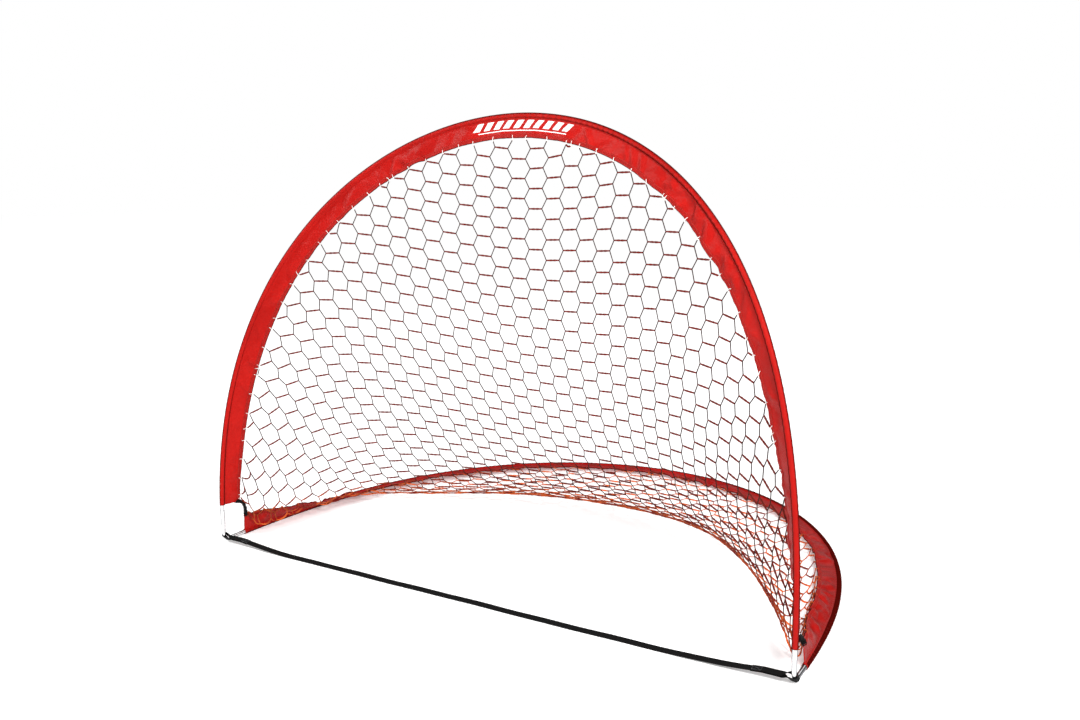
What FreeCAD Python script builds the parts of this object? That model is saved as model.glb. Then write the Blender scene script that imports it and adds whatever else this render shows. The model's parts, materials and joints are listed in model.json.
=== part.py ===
import FreeCAD, Part

import math
import os

# A fold-flat practice goal: two sprung hoops in cloth sleeves, joined by bent steel elbows at the
# front corners. The front hoop stands up and leans back, the rear hoop lies on the ground, and a
# net hangs between them. Millimetres. +X along the goal mouth, +Y to the back, +Z up. The origin
# is on the ground, on the goal line, midway between the elbows.

# ---- driving dimensions -------------------------------------------------------------------------
OVERALL_WIDTH = 1829.0          # outside to outside of the sleeves: a 6 ft goal
HOOP_RISE = 1334.0              # goal line to crown, along either hoop's sheet, on the rod's centre
HOOP_LEG = 91.0                 # straight stretch of a hoop at each elbow
LEAN_RATE = 0.0001826           # front hoop leans back by this times the square of its rise, per mm
LEAN_START = -1.3               # from here, so that its rods stay inside their straight ferrules
REAR_AXIS_HEIGHT = 8.4          # rear rod's centre above the ground

ROD_RADIUS = 4.0
ROD_CLEARANCE = 0.25            # between a rod and its ferrule
CHANNEL_RADIUS = 8.0            # outside of the rod channel along a sleeve's outer edge
CHANNEL_BORE_RADIUS = 6.6       # inside of that channel, which also passes over a ferrule
BAND_WIDTH = 67.0               # a sleeve, from its outer edge to its inner hem
WEB_HALF_THICKNESS = 0.9        # two layers of cloth lying together
BINDING_WIDTH = 12.0            # tape folded over the inner hem
BINDING_HALF_THICKNESS = 2.2
SEWN_GAP = 0.05                 # keeps sewn layers from sharing volume

FOLD_HEIGHT = 121.0              # the front rods flex here, where they leave the elbows' ferrules
REAR_SLEEVE_START = 82.0        # along the rear hoop
FRONT_TWIST_DEG = 80.0          # the front band turns back by this much at its lower ends
FRONT_REST_DEG = 8.0            # and comes to face forward with its height
FRONT_TWIST_DECAY = 600.0
REAR_TWIST_DEG = 85.0           # the rear band stands up by this much at its front ends
REAR_REST_DEG = 4.0             # and lies almost flat at the back
REAR_TWIST_DECAY = 280.0

ELBOW_RADIUS = 6.0
ELBOW_BORE_RADIUS = 5.0
ELBOW_BEND_RADIUS = 28.0
ELBOW_LEG_END = 60.0            # elbow's mouth, measured from the goal line or from the ground
FERRULE_RADIUS = 6.3
FERRULE_SPIGOT_RADIUS = 4.95
FERRULE_SPIGOT_LENGTH = 14.0
FRONT_FERRULE_TOP = 104.0
REAR_FERRULE_END = 98.0
ROD_SOCKET_DEPTH = 12.0         # how far a rod sits below its ferrule's collar
ROD_END_GAP = 0.5               # between a rod's end and the floor of its socket
ROOT_STUB_TOP_GAP = 9.2         # room for the rod and its sleeve to turn about the fold axis

STRAP_WIDTH = 22.0
STRAP_THICKNESS = 2.0
STRAP_FLAT_HALF_LENGTH = 560.0  # stretch that lies on the ground
LOOP_LENGTH = 74.0              # elbow to the seam that closes an end loop
LOOP_GAP = 1.8                  # between a loop and its elbow, which bends inside it
LOOP_LIFT = 1.4                 # loop's middle above the elbow's, towards the bend's centre

TIE_CORD_RADIUS = 5.0           # short cord between the two sleeves at each corner
NET_TIE_PITCH = 54.0
NET_TIE_LOOP_RADIUS = 4.5
NET_TIE_THREAD_RADIUS = 0.8

NET_THICKNESS = 0.6             # the mesh's cloth spread evenly over its openings
NET_GAP = 9.0                   # hem to net, bridged by the tie loops
NET_TOUCHDOWN = 0.44            # where the hanging net meets the ground, between its two hems
NET_DROP_POWER = 2.6            # higher hangs more steeply
NET_LIFT_POWER = 4.0            # higher stays on the ground for longer before the rear hem
NET_GROUND_HEIGHT = 1.0
NET_COLUMNS = 28
NET_ROWS = 18
NET_ROW_SPREAD = 0.7            # below 1 brings the rows closer together at the top
NET_SPLIT_GAP = 0.011           # share of the depth left open where the net is split in two nodes

SECTIONS_PER_CURVE = 15         # cross-sections along the curved part of half a hoop
ELASTICA_STEPS = 24             # integration steps between two of those sections
FIRST_SECTION_STEP = 30.0       # shortest stretch between a sleeve's end and its next section
BORE_OVERRUN = 30.0             # the channel's bore is cut from this far outside a sleeve

HALF_WIDTH = OVERALL_WIDTH / 2 - CHANNEL_RADIUS
CURVE_RISE = HOOP_RISE - HOOP_LEG
HEM_REACH = BAND_WIDTH - CHANNEL_RADIUS

X_AXIS = FreeCAD.Vector(1, 0, 0)
Y_AXIS = FreeCAD.Vector(0, 1, 0)
Z_AXIS = FreeCAD.Vector(0, 0, 1)


# ---- shape of a bent hoop ------------------------------------------------------------------------
def bend_share(angle, balance):
    """Share of the curve's rise at which the rod has turned by this angle."""
    root = math.sqrt((1 - balance) ** 2 + 4 * balance * math.sin(angle))
    return (root - (1 - balance)) / (2 * balance)


def inset_rate(angle, balance):
    share = bend_share(angle, balance)
    return CURVE_RISE * math.sin(angle) / ((1 - balance) + 2 * balance * share)


def section_angle(place):
    """Rod angle at a place from 0 at the leg to 1 at the crown, in finer steps near the leg."""
    return math.pi / 2 * place ** 1.5


def curve_insets(balance):
    """Inward offsets of the rod at every section, from the leg to the crown."""
    fine = SECTIONS_PER_CURVE * ELASTICA_STEPS
    insets = [0.0]
    total = 0.0
    for i in range(fine):
        low, high = section_angle(i / fine), section_angle((i + 1) / fine)
        total += inset_rate((low + high) / 2, balance) * (high - low)
        if (i + 1) % ELASTICA_STEPS == 0:
            insets.append(total)
    return insets


def solve_balance():
    """Bending balance that makes the half hoop reach the centre line exactly at its crown."""
    low, high = 0.01, 1.5
    for _ in range(50):
        middle = (low + high) / 2
        if curve_insets(middle)[-1] > HALF_WIDTH:
            low = middle
        else:
            high = middle
    return (low + high) / 2


def half_hoop(start):
    """Points of the right half as (x, rise, angle), from the sleeve's start to the crown."""
    balance = solve_balance()
    insets = curve_insets(balance)
    points = [(HALF_WIDTH, start, 0.0)]
    for i, inset in enumerate(insets):
        angle = section_angle(i / SECTIONS_PER_CURVE)
        rise = HOOP_LEG + CURVE_RISE * bend_share(angle, balance)
        if rise > start + FIRST_SECTION_STEP:
            points.append((HALF_WIDTH - inset, rise, angle))
    return points


def full_hoop(start):
    """Points of a whole hoop as (x, rise, angle, side), from right to left."""
    right = half_hoop(start)
    hoop = [(x, rise, angle, 1) for x, rise, angle in right]
    hoop += [(-x, rise, angle, -1) for x, rise, angle in reversed(right[:-1])]
    return hoop


class FrontSheet:
    """The upright hoop's sheet, which leans back more the higher it goes."""

    @staticmethod
    def place(x, rise):
        rate = 2 * LEAN_RATE
        turn = rate * rise
        height = rise / 2 * math.sqrt(1 - turn * turn) + math.asin(turn) / (2 * rate)
        return FreeCAD.Vector(x, LEAN_START + LEAN_RATE * rise * rise, height)

    @staticmethod
    def up(rise):
        turn = 2 * LEAN_RATE * rise
        return FreeCAD.Vector(0, turn, math.sqrt(1 - turn * turn))

    @staticmethod
    def side(rise):
        turn = 2 * LEAN_RATE * rise
        return FreeCAD.Vector(0, math.sqrt(1 - turn * turn), -turn)

    @staticmethod
    def twist(rise):
        fade = math.exp(-(rise - FOLD_HEIGHT) / FRONT_TWIST_DECAY)
        return math.radians(FRONT_REST_DEG + (FRONT_TWIST_DEG - FRONT_REST_DEG) * fade)


class RearSheet:
    """The rear hoop's sheet, flat on the ground."""

    @staticmethod
    def place(x, rise):
        return FreeCAD.Vector(x, rise, REAR_AXIS_HEIGHT)

    @staticmethod
    def up(_rise):
        return FreeCAD.Vector(Y_AXIS)

    @staticmethod
    def side(_rise):
        return FreeCAD.Vector(Z_AXIS)

    @staticmethod
    def twist(rise):
        fade = math.exp(-(rise - REAR_SLEEVE_START) / REAR_TWIST_DECAY)
        return math.radians(REAR_REST_DEG + (REAR_TWIST_DEG - REAR_REST_DEG) * fade)


class Station:
    """A place on a hoop: rod centre, rod direction, and the band's inward and face directions."""

    def __init__(self, sheet, x, rise, angle, side):
        up = sheet.up(rise)
        self.centre = sheet.place(x, rise)
        self.along = X_AXIS * (-side * math.sin(angle)) + up * math.cos(angle)
        flat_inward = X_AXIS * (-side * math.cos(angle)) - up * math.sin(angle)
        twist = sheet.twist(rise)
        self.inward = flat_inward * math.cos(twist) + sheet.side(rise) * math.sin(twist)
        self.face = self.along.cross(self.inward) * side

    def at(self, reach, lift=0.0):
        return self.centre + self.inward * reach + self.face * lift


def stations(sheet, start):
    return [Station(sheet, x, rise, angle, side) for x, rise, angle, side in full_hoop(start)]


# ---- small solid helpers -------------------------------------------------------------------------
def smooth_path(points):
    curve = Part.BSplineCurve()
    curve.interpolate(points)
    return Part.Wire(curve.toShape())


def pipe(points, radius):
    """Round bar along a smooth path."""
    path = smooth_path(points)
    direction = points[1] - points[0]
    circle = Part.Wire(Part.makeCircle(radius, points[0], direction))
    return path.makePipeShell([circle], True, True)


def arc(first, middle, last):
    return Part.Arc(first, middle, last).toShape()


# ---- rods, elbows and ferrules -------------------------------------------------------------------
def hoop_rod(sheet, start):
    return pipe([station.centre for station in stations(sheet, start)], ROD_RADIUS)


def elbow(side):
    """Bent steel tube from the front hoop's leg to the rear hoop's leg."""
    x = side * HALF_WIDTH
    top = FreeCAD.Vector(x, 0, ELBOW_LEG_END)
    bend_top = FreeCAD.Vector(x, 0, REAR_AXIS_HEIGHT + ELBOW_BEND_RADIUS)
    bend_back = FreeCAD.Vector(x, ELBOW_BEND_RADIUS, REAR_AXIS_HEIGHT)
    back = FreeCAD.Vector(x, ELBOW_LEG_END, REAR_AXIS_HEIGHT)
    offset = ELBOW_BEND_RADIUS * (1 - math.sqrt(0.5))
    bend_middle = FreeCAD.Vector(x, offset, REAR_AXIS_HEIGHT + offset)
    edges = [Part.makeLine(top, bend_top), arc(bend_top, bend_middle, bend_back),
             Part.makeLine(bend_back, back)]
    path = Part.Wire(edges)
    ring = Part.Face(Part.Wire(Part.makeCircle(ELBOW_RADIUS, top, Z_AXIS)))
    bore = Part.Face(Part.Wire(Part.makeCircle(ELBOW_BORE_RADIUS, top, Z_AXIS)))
    return path.makePipe(ring).cut(path.makePipe(bore))


def ferrule(mouth, axis, length):
    """Stepped steel sleeve: a spigot inside the elbow, and a collar that holds the rod."""
    bore = ROD_RADIUS + ROD_CLEARANCE
    collar = Part.makeCylinder(FERRULE_RADIUS, length, mouth, axis)
    foot = mouth - axis * FERRULE_SPIGOT_LENGTH
    spigot = Part.makeCylinder(FERRULE_SPIGOT_RADIUS, FERRULE_SPIGOT_LENGTH, foot, axis)
    body = collar.fuse(spigot).removeSplitter()
    depth = ROD_SOCKET_DEPTH + ROD_END_GAP
    hole = Part.makeCylinder(bore, length + depth, mouth - axis * depth, axis)
    return body.cut(hole)


def front_ferrule(side):
    mouth = FreeCAD.Vector(side * HALF_WIDTH, 0, ELBOW_LEG_END)
    return ferrule(mouth, Z_AXIS, FRONT_FERRULE_TOP - ELBOW_LEG_END)


def rear_ferrule(side):
    mouth = FreeCAD.Vector(side * HALF_WIDTH, ELBOW_LEG_END, REAR_AXIS_HEIGHT)
    return ferrule(mouth, Y_AXIS, REAR_FERRULE_END - ELBOW_LEG_END)


def front_rod_root(side):
    """The stretch of the front rod that the elbow's ferrule holds still."""
    foot_height = ELBOW_LEG_END - ROD_SOCKET_DEPTH
    foot = FreeCAD.Vector(side * HALF_WIDTH, 0, foot_height)
    length = FOLD_HEIGHT - ROOT_STUB_TOP_GAP - foot_height
    return Part.makeCylinder(ROD_RADIUS, length, foot, Z_AXIS)


# ---- cloth sleeves and hem binding ---------------------------------------------------------------
def sleeve_section(station):
    """Round rod channel with a flat web that runs in to the hem."""
    rise = math.sqrt(CHANNEL_RADIUS ** 2 - WEB_HALF_THICKNESS ** 2)
    web_end = HEM_REACH - SEWN_GAP - WEB_HALF_THICKNESS
    upper = station.at(rise, WEB_HALF_THICKNESS)
    lower = station.at(rise, -WEB_HALF_THICKNESS)
    outer = station.at(-CHANNEL_RADIUS)
    crest = station.at(0, CHANNEL_RADIUS)
    trough = station.at(0, -CHANNEL_RADIUS)
    half = CHANNEL_RADIUS * math.sqrt(0.5)
    upper_end = station.at(web_end, WEB_HALF_THICKNESS)
    lower_end = station.at(web_end, -WEB_HALF_THICKNESS)
    return Part.Wire([
        Part.makeLine(upper_end, upper),
        arc(upper, station.at(half, half), crest),
        arc(crest, station.at(-half, half), outer),
        arc(outer, station.at(-half, -half), trough),
        arc(trough, station.at(half, -half), lower),
        Part.makeLine(lower, lower_end),
        arc(lower_end, station.at(web_end + WEB_HALF_THICKNESS), upper_end),
    ])


def sleeve(sheet, start):
    places = stations(sheet, start)
    body = Part.makeLoft([sleeve_section(place) for place in places], True, False)
    ends = [place.centre - place.along * BORE_OVERRUN for place in (places[0], places[-1])]
    path = [ends[0]] + [place.centre for place in places] + [ends[1]]
    return body.cut(pipe(path, CHANNEL_BORE_RADIUS))


def binding_section(station):
    """Tape folded over the hem: a U that is open towards the sleeve."""
    inner = WEB_HALF_THICKNESS + SEWN_GAP
    outer = BINDING_HALF_THICKNESS
    mouth = HEM_REACH - BINDING_WIDTH
    fold = HEM_REACH + SEWN_GAP
    tip = fold + outer - inner
    corners = [(mouth, outer), (tip, outer), (tip, -outer), (mouth, -outer),
               (mouth, -inner), (fold, -inner), (fold, inner), (mouth, inner)]
    points = [station.at(reach, lift) for reach, lift in corners]
    return Part.makePolygon(points + points[:1])


def hem_binding(sheet, start):
    places = stations(sheet, start)
    return Part.makeLoft([binding_section(place) for place in places], True, False)


# ---- net and the loops that hold it --------------------------------------------------------------
def hem_curve(sheet, start, reach):
    curve = Part.BSplineCurve()
    curve.interpolate([place.at(reach) for place in stations(sheet, start)])
    return curve


def even_places(curve, count):
    """Points and directions at even steps of length, with half a step left at each end."""
    first, last = curve.FirstParameter, curve.LastParameter
    length = curve.length()
    found = []
    for i in range(count):
        where = curve.parameterAtDistance(length * (i + 0.5) / count, first)
        found.append((curve.value(min(where, last)), curve.tangent(min(where, last))[0]))
    return found


def net_ties(sheet, start):
    """Thread loops that pierce the hem and stand in from it to take the net."""
    curve = hem_curve(sheet, start, HEM_REACH + NET_TIE_LOOP_RADIUS - BINDING_HALF_THICKNESS)
    count = int(curve.length() / NET_TIE_PITCH)
    loops = []
    for point, along in even_places(curve, count):
        loops.append(Part.makeTorus(NET_TIE_LOOP_RADIUS, NET_TIE_THREAD_RADIUS, point, along))
    return Part.makeCompound(loops)


def hanging_point(front, rear, run):
    """A point on a strand of net between the front hem (run 0) and the ground (run 1)."""
    drop = (1 - run) ** NET_ROW_SPREAD
    touch_y = front.y + (rear.y - front.y) * NET_TOUCHDOWN
    x = front.x + (rear.x - front.x) * NET_TOUCHDOWN * (1 - drop)
    y = touch_y - (touch_y - front.y) * drop
    z = NET_GROUND_HEIGHT + (front.z - NET_GROUND_HEIGHT) * drop ** NET_DROP_POWER
    return FreeCAD.Vector(x, y, z)


def lying_point(front, rear, run):
    """A point on the same strand between the ground (run 0) and the rear hem (run 1)."""
    share = NET_TOUCHDOWN + NET_SPLIT_GAP + (1 - NET_TOUCHDOWN - NET_SPLIT_GAP) * run
    x = front.x + (rear.x - front.x) * share
    y = front.y + (rear.y - front.y) * share
    z = NET_GROUND_HEIGHT + (rear.z - NET_GROUND_HEIGHT) * run ** NET_LIFT_POWER
    return FreeCAD.Vector(x, y, z)


def net_solid(strand_point, lean):
    """One of the net's two stretches, as a thin closed sheet that thickens towards lean."""
    reach = HEM_REACH + NET_GAP
    front = even_places(hem_curve(FrontSheet, FOLD_HEIGHT + BINDING_WIDTH, reach), NET_COLUMNS)
    rear = even_places(hem_curve(RearSheet, REAR_SLEEVE_START + BINDING_WIDTH, reach), NET_COLUMNS)
    grid = []
    for (front_point, _), (rear_point, _) in zip(front, rear):
        runs = [i / (NET_ROWS - 1) for i in range(NET_ROWS)]
        grid.append([strand_point(front_point, rear_point, run) for run in runs])
    surface = Part.BSplineSurface()
    surface.interpolate(grid)
    return surface.toShape().extrude(lean.normalize() * NET_THICKNESS)


# ---- corner cords and ground strap ---------------------------------------------------------------
def corner_tie(side):
    """Short cord that joins the front sleeve's lower hem corner to the rear sleeve's."""
    index = 0 if side > 0 else -1
    front = stations(FrontSheet, FOLD_HEIGHT)[index]
    rear = stations(RearSheet, REAR_SLEEVE_START)[index]
    gap = TIE_CORD_RADIUS + BINDING_HALF_THICKNESS + 1.0
    first = front.at(HEM_REACH - gap) - Z_AXIS * gap
    last = rear.at(HEM_REACH - gap) - Y_AXIS * gap
    bow = (first + last) * 0.5 + FreeCAD.Vector(side * 2, 6, 5)
    return pipe([first, bow, last], TIE_CORD_RADIUS)


def strap_section(x, centre, tilt, width, thickness):
    """Rectangle across the strap; tilt turns its width from flat towards the elbow's slope."""
    across = FreeCAD.Vector(0, math.cos(tilt), -math.sin(tilt)) * (width / 2)
    lift = FreeCAD.Vector(0, math.sin(tilt), math.cos(tilt)) * (thickness / 2)
    middle = FreeCAD.Vector(x, centre[0], centre[1])
    corners = [middle + across + lift, middle - across + lift,
               middle - across - lift, middle + across - lift]
    return Part.makePolygon(corners + corners[:1])


def bend_centre():
    """Middle of the elbow's bend on its centre line, as (y, z)."""
    offset = ELBOW_BEND_RADIUS * (1 - math.sqrt(0.5))
    return offset, REAR_AXIS_HEIGHT + offset


def ground_strap():
    """Webbing that lies on the ground along the goal line and rises to both elbows."""
    y, loop_z = bend_centre()
    end_x = HALF_WIDTH - LOOP_LENGTH
    steps = 6
    half = []
    for i in range(steps + 1):
        share = i / steps
        ease = share * share
        x = STRAP_FLAT_HALF_LENGTH + (end_x - STRAP_FLAT_HALF_LENGTH) * share
        z = STRAP_THICKNESS / 2 + (loop_z - STRAP_THICKNESS / 2) * ease
        half.append((x, z, math.pi / 4 * ease))
    path = half[::-1] + [(-x, z, tilt) for x, z, tilt in half]
    sections = [strap_section(x, (y, z), tilt, STRAP_WIDTH, STRAP_THICKNESS)
                for x, z, tilt in path]
    return Part.makeLoft(sections, True, True)


def strap_loop(side):
    """End loop: webbing that runs round the elbow's bend and back to the seam."""
    y, z = bend_centre()
    thickness = STRAP_THICKNESS * 0.75
    reach = ELBOW_RADIUS + LOOP_GAP
    outer = reach + thickness
    elbow_x = side * HALF_WIDTH
    seam_x = side * (HALF_WIDTH - LOOP_LENGTH)
    turn = FreeCAD.Rotation(X_AXIS, -45)
    origin = FreeCAD.Vector(0, y, z)

    def at(x, lift, across):
        return origin + FreeCAD.Vector(x, 0, 0) + turn.multVec(FreeCAD.Vector(0, across, lift))

    start = -STRAP_WIDTH / 2
    seam_inner = STRAP_THICKNESS / 2 + SEWN_GAP
    seam_outer = seam_inner + thickness

    def turn_round(radius):
        return arc(at(elbow_x, LOOP_LIFT + radius, start),
                   at(elbow_x + side * radius, LOOP_LIFT, start),
                   at(elbow_x, LOOP_LIFT - radius, start))

    edges = [
        Part.makeLine(at(seam_x, seam_outer, start), at(elbow_x, LOOP_LIFT + outer, start)),
        turn_round(outer),
        Part.makeLine(at(elbow_x, LOOP_LIFT - outer, start), at(seam_x, -seam_outer, start)),
        Part.makeLine(at(seam_x, -seam_outer, start), at(seam_x, -seam_inner, start)),
        Part.makeLine(at(seam_x, -seam_inner, start), at(elbow_x, LOOP_LIFT - reach, start)),
        turn_round(reach),
        Part.makeLine(at(elbow_x, LOOP_LIFT + reach, start), at(seam_x, seam_inner, start)),
        Part.makeLine(at(seam_x, seam_inner, start), at(seam_x, seam_outer, start)),
    ]
    face = Part.Face(Part.Wire(edges))
    return face.extrude(turn.multVec(FreeCAD.Vector(0, STRAP_WIDTH, 0)))


# ---- every node ----------------------------------------------------------------------------------
def build():
    shapes = {
        "front_rod": hoop_rod(FrontSheet, FOLD_HEIGHT),
        "rear_rod": hoop_rod(RearSheet, ELBOW_LEG_END - ROD_SOCKET_DEPTH),
        "front_sleeve": sleeve(FrontSheet, FOLD_HEIGHT),
        "rear_sleeve": sleeve(RearSheet, REAR_SLEEVE_START),
        "front_hem_binding": hem_binding(FrontSheet, FOLD_HEIGHT),
        "rear_hem_binding": hem_binding(RearSheet, REAR_SLEEVE_START),
        "front_net_ties": net_ties(FrontSheet, FOLD_HEIGHT),
        "rear_net_ties": net_ties(RearSheet, REAR_SLEEVE_START),
        "net_hanging": net_solid(hanging_point, FreeCAD.Vector(0, 1, 1)),
        "net_ground": net_solid(lying_point, FreeCAD.Vector(0, -0.4, 1)),
        "ground_strap": ground_strap(),
    }
    for name, side in (("left", -1), ("right", 1)):
        shapes["elbow_" + name] = elbow(side)
        shapes["front_ferrule_" + name] = front_ferrule(side)
        shapes["rear_ferrule_" + name] = rear_ferrule(side)
        shapes["front_rod_root_" + name] = front_rod_root(side)
        shapes["corner_tie_" + name] = corner_tie(side)
        shapes["strap_loop_" + name] = strap_loop(side)
    return shapes


os.makedirs("parts", exist_ok=True)
for node, shape in build().items():
    shape.exportStep("parts/" + node + ".step")
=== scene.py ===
import json
import math

import bpy
import numpy as np
from mathutils import Matrix, Vector


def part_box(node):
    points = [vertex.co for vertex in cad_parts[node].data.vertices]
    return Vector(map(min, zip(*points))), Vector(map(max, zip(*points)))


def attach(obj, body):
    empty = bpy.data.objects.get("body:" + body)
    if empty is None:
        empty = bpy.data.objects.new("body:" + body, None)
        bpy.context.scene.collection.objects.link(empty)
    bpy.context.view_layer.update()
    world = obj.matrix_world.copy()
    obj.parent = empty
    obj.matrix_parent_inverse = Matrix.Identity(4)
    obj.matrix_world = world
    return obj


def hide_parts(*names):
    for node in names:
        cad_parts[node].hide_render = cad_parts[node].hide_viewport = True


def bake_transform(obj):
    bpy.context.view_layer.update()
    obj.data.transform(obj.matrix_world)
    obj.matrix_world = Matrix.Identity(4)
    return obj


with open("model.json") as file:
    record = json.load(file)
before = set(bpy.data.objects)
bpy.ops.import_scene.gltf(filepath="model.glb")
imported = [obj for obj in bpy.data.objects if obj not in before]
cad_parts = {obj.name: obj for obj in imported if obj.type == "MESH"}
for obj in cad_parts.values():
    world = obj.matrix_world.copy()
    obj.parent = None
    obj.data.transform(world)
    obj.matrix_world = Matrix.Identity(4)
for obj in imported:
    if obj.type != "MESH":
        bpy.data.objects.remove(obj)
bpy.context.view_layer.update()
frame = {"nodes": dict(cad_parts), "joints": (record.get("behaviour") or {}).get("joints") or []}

# The looks of a fold-flat practice goal, built round its CAD frame. Metres, +X along the goal
# mouth, +Y to the back, +Z up, with the origin on the ground in the middle of the goal line.

# ---- sizes ---------------------------------------------------------------------------------------
ROD_RADIUS = 0.004
HOOP_LEG = 0.091                 # straight stretch of a hoop at each elbow
REAR_SLEEVE_START = 0.082
SLEEVE_SLIP = 0.033              # the front sleeve has slid this far down over its right ferrule
FRONT_TWIST, FRONT_REST, FRONT_TWIST_DECAY = math.radians(80.0), math.radians(8.0), 0.60
REAR_TWIST, REAR_REST, REAR_TWIST_DECAY = math.radians(85.0), math.radians(4.0), 0.28

HALF_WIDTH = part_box("front_rod")[1].x - ROD_RADIUS
HOOP_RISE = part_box("rear_rod")[1].y - ROD_RADIUS
LEAN_START = -0.0013
LEAN_RATE = (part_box("front_rod")[1].y - ROD_RADIUS - LEAN_START) / HOOP_RISE ** 2
REAR_AXIS_HEIGHT = (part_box("rear_rod")[0].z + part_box("rear_rod")[1].z) / 2
CHANNEL_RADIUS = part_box("rear_sleeve")[1].y - HOOP_RISE
FOLD = Vector(frame["joints"][0]["pos_m"])
FOLD_ANGLE = math.radians(frame["joints"][0]["range_deg"][1])
ELBOW_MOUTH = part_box("elbow_right")[1].z

BAND_WIDTH = 0.067               # a sleeve, from its outer edge to its inner hem
HEM = BAND_WIDTH - CHANNEL_RADIUS
WEB_HALF = 0.0009                # half the thickness of the two layers of cloth
BINDING_WIDTH = 0.0105
BINDING_HALF = 0.0021

MESH_COLUMN, MESH_ROW = 0.056, 0.0535    # pitch of the hexagon mesh, across and down
JOINT_LENGTH = 0.041                     # the thick double-thread side of a mesh
JOINT_RADIUS, LEG_RADIUS = 0.0025, 0.0014
MESH_SKEW = math.radians(-1.5)           # turn of the mesh's rows in the cut net
NET_FLARE = 0.68                         # how far its sides slope outwards of the hoop's
NET_GIVE, SIDE_GIVE = 0.945, -0.13       # cut length for hung length, and its change at the sides
FOLD_MIDDLE, FOLD_BACK = 0.15, 0.775     # x and y where the net's front edge lies furthest back
FOLD_LEFT, FOLD_RIGHT, FOLD_POWER = 0.37, 1.95, 3.3      # how fast it comes forward to each side
NET_GAP = 0.0055                         # hem to net, bridged by the tie loops
GROUND = 0.0016

FRONT_SLACK = [(1.15, 0.22), (1.45, 0.12), (2.2, 0.15)]      # (place, spread) of creased stretches
REAR_SLACK = [(0.35, 0.20), (0.8, 0.2), (1.6, 0.3), (3.1, 0.2)]

SHORTEST_STRAND = 0.013          # a shorter end is left out, and its knot is tied to the hem
NET_DAMPING = 0.985
NET_SPLIT = 0.012                # height between the hanging net's pieces and the lying one's
SLEEVE_BEND = 0.022              # stretch of the front sleeve that bends over its collar
GROUND_SLIP = 0.35               # share of a sideways move that the ground lets through
HANG_STEPS, HANG_SWEEPS = 700, 12

TIE_BITE = 0.0060                # how far over the hem a tie loop reaches
TIE_THREAD = 0.0009
CORD_RADIUS = 0.0052
ELBOW_RADIUS, ELBOW_BEND = 0.006, 0.028
STRAP_WIDTH, STRAP_THICKNESS, STRAP_FLAT_HALF = 0.022, 0.002, 0.56
LOOP_LENGTH, LOOP_SLACK, LOOP_LIFT, SEAM_BOX = 0.074, 0.0018, 0.0014, 0.026
LOOP_OPEN = 0.034                # stretch next to the elbow where a strap loop opens
STRAP_TILT = math.radians(-5.0)  # its back edge stands up this far
MOTIF_LIFT, MOTIF_ASIDE = 0.0016, 0.027
SIDE_NAMES = {1: "right", -1: "left"}

SLEEVE_STEP = 0.003              # spacing of the rings along a sleeve
CREASE_PITCH, CREASE_LIMIT = 0.018, 0.0085
STITCH_PITCH, STITCH_LENGTH, STITCH_RADIUS = 0.0046, 0.0034, 0.00034
RIM_RADIUS = 0.0014


# ---- shape of a bent hoop ------------------------------------------------------------------------
class Arch:
    """Half of a bent hoop as arrays over its length: inset from the side, rise and rod angle."""

    def __init__(self):
        curve_rise = HOOP_RISE - HOOP_LEG
        low, high = 0.01, 1.5
        for _ in range(50):
            balance = (low + high) / 2
            angle = np.linspace(0, math.pi / 2, 3001)
            root = np.sqrt((1 - balance) ** 2 + 4 * balance * np.sin(angle))
            share = (root - (1 - balance)) / (2 * balance)
            rate = curve_rise / ((1 - balance) + 2 * balance * share)
            inset = cumulative(np.sin(angle) * rate, angle)
            if inset[-1] > HALF_WIDTH:
                low = balance
            else:
                high = balance
        length = cumulative(rate, angle)
        self.length = np.concatenate([[0.0], HOOP_LEG + length])
        self.x = HALF_WIDTH - np.concatenate([[0.0], inset])
        self.rise = np.concatenate([[0.0], HOOP_LEG + curve_rise * share])
        self.angle = np.concatenate([[0.0], angle])


def cumulative(rate, over):
    steps = (rate[1:] + rate[:-1]) / 2 * np.diff(over)
    return np.concatenate([[0.0], np.cumsum(steps)])


ARCH = Arch()


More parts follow.
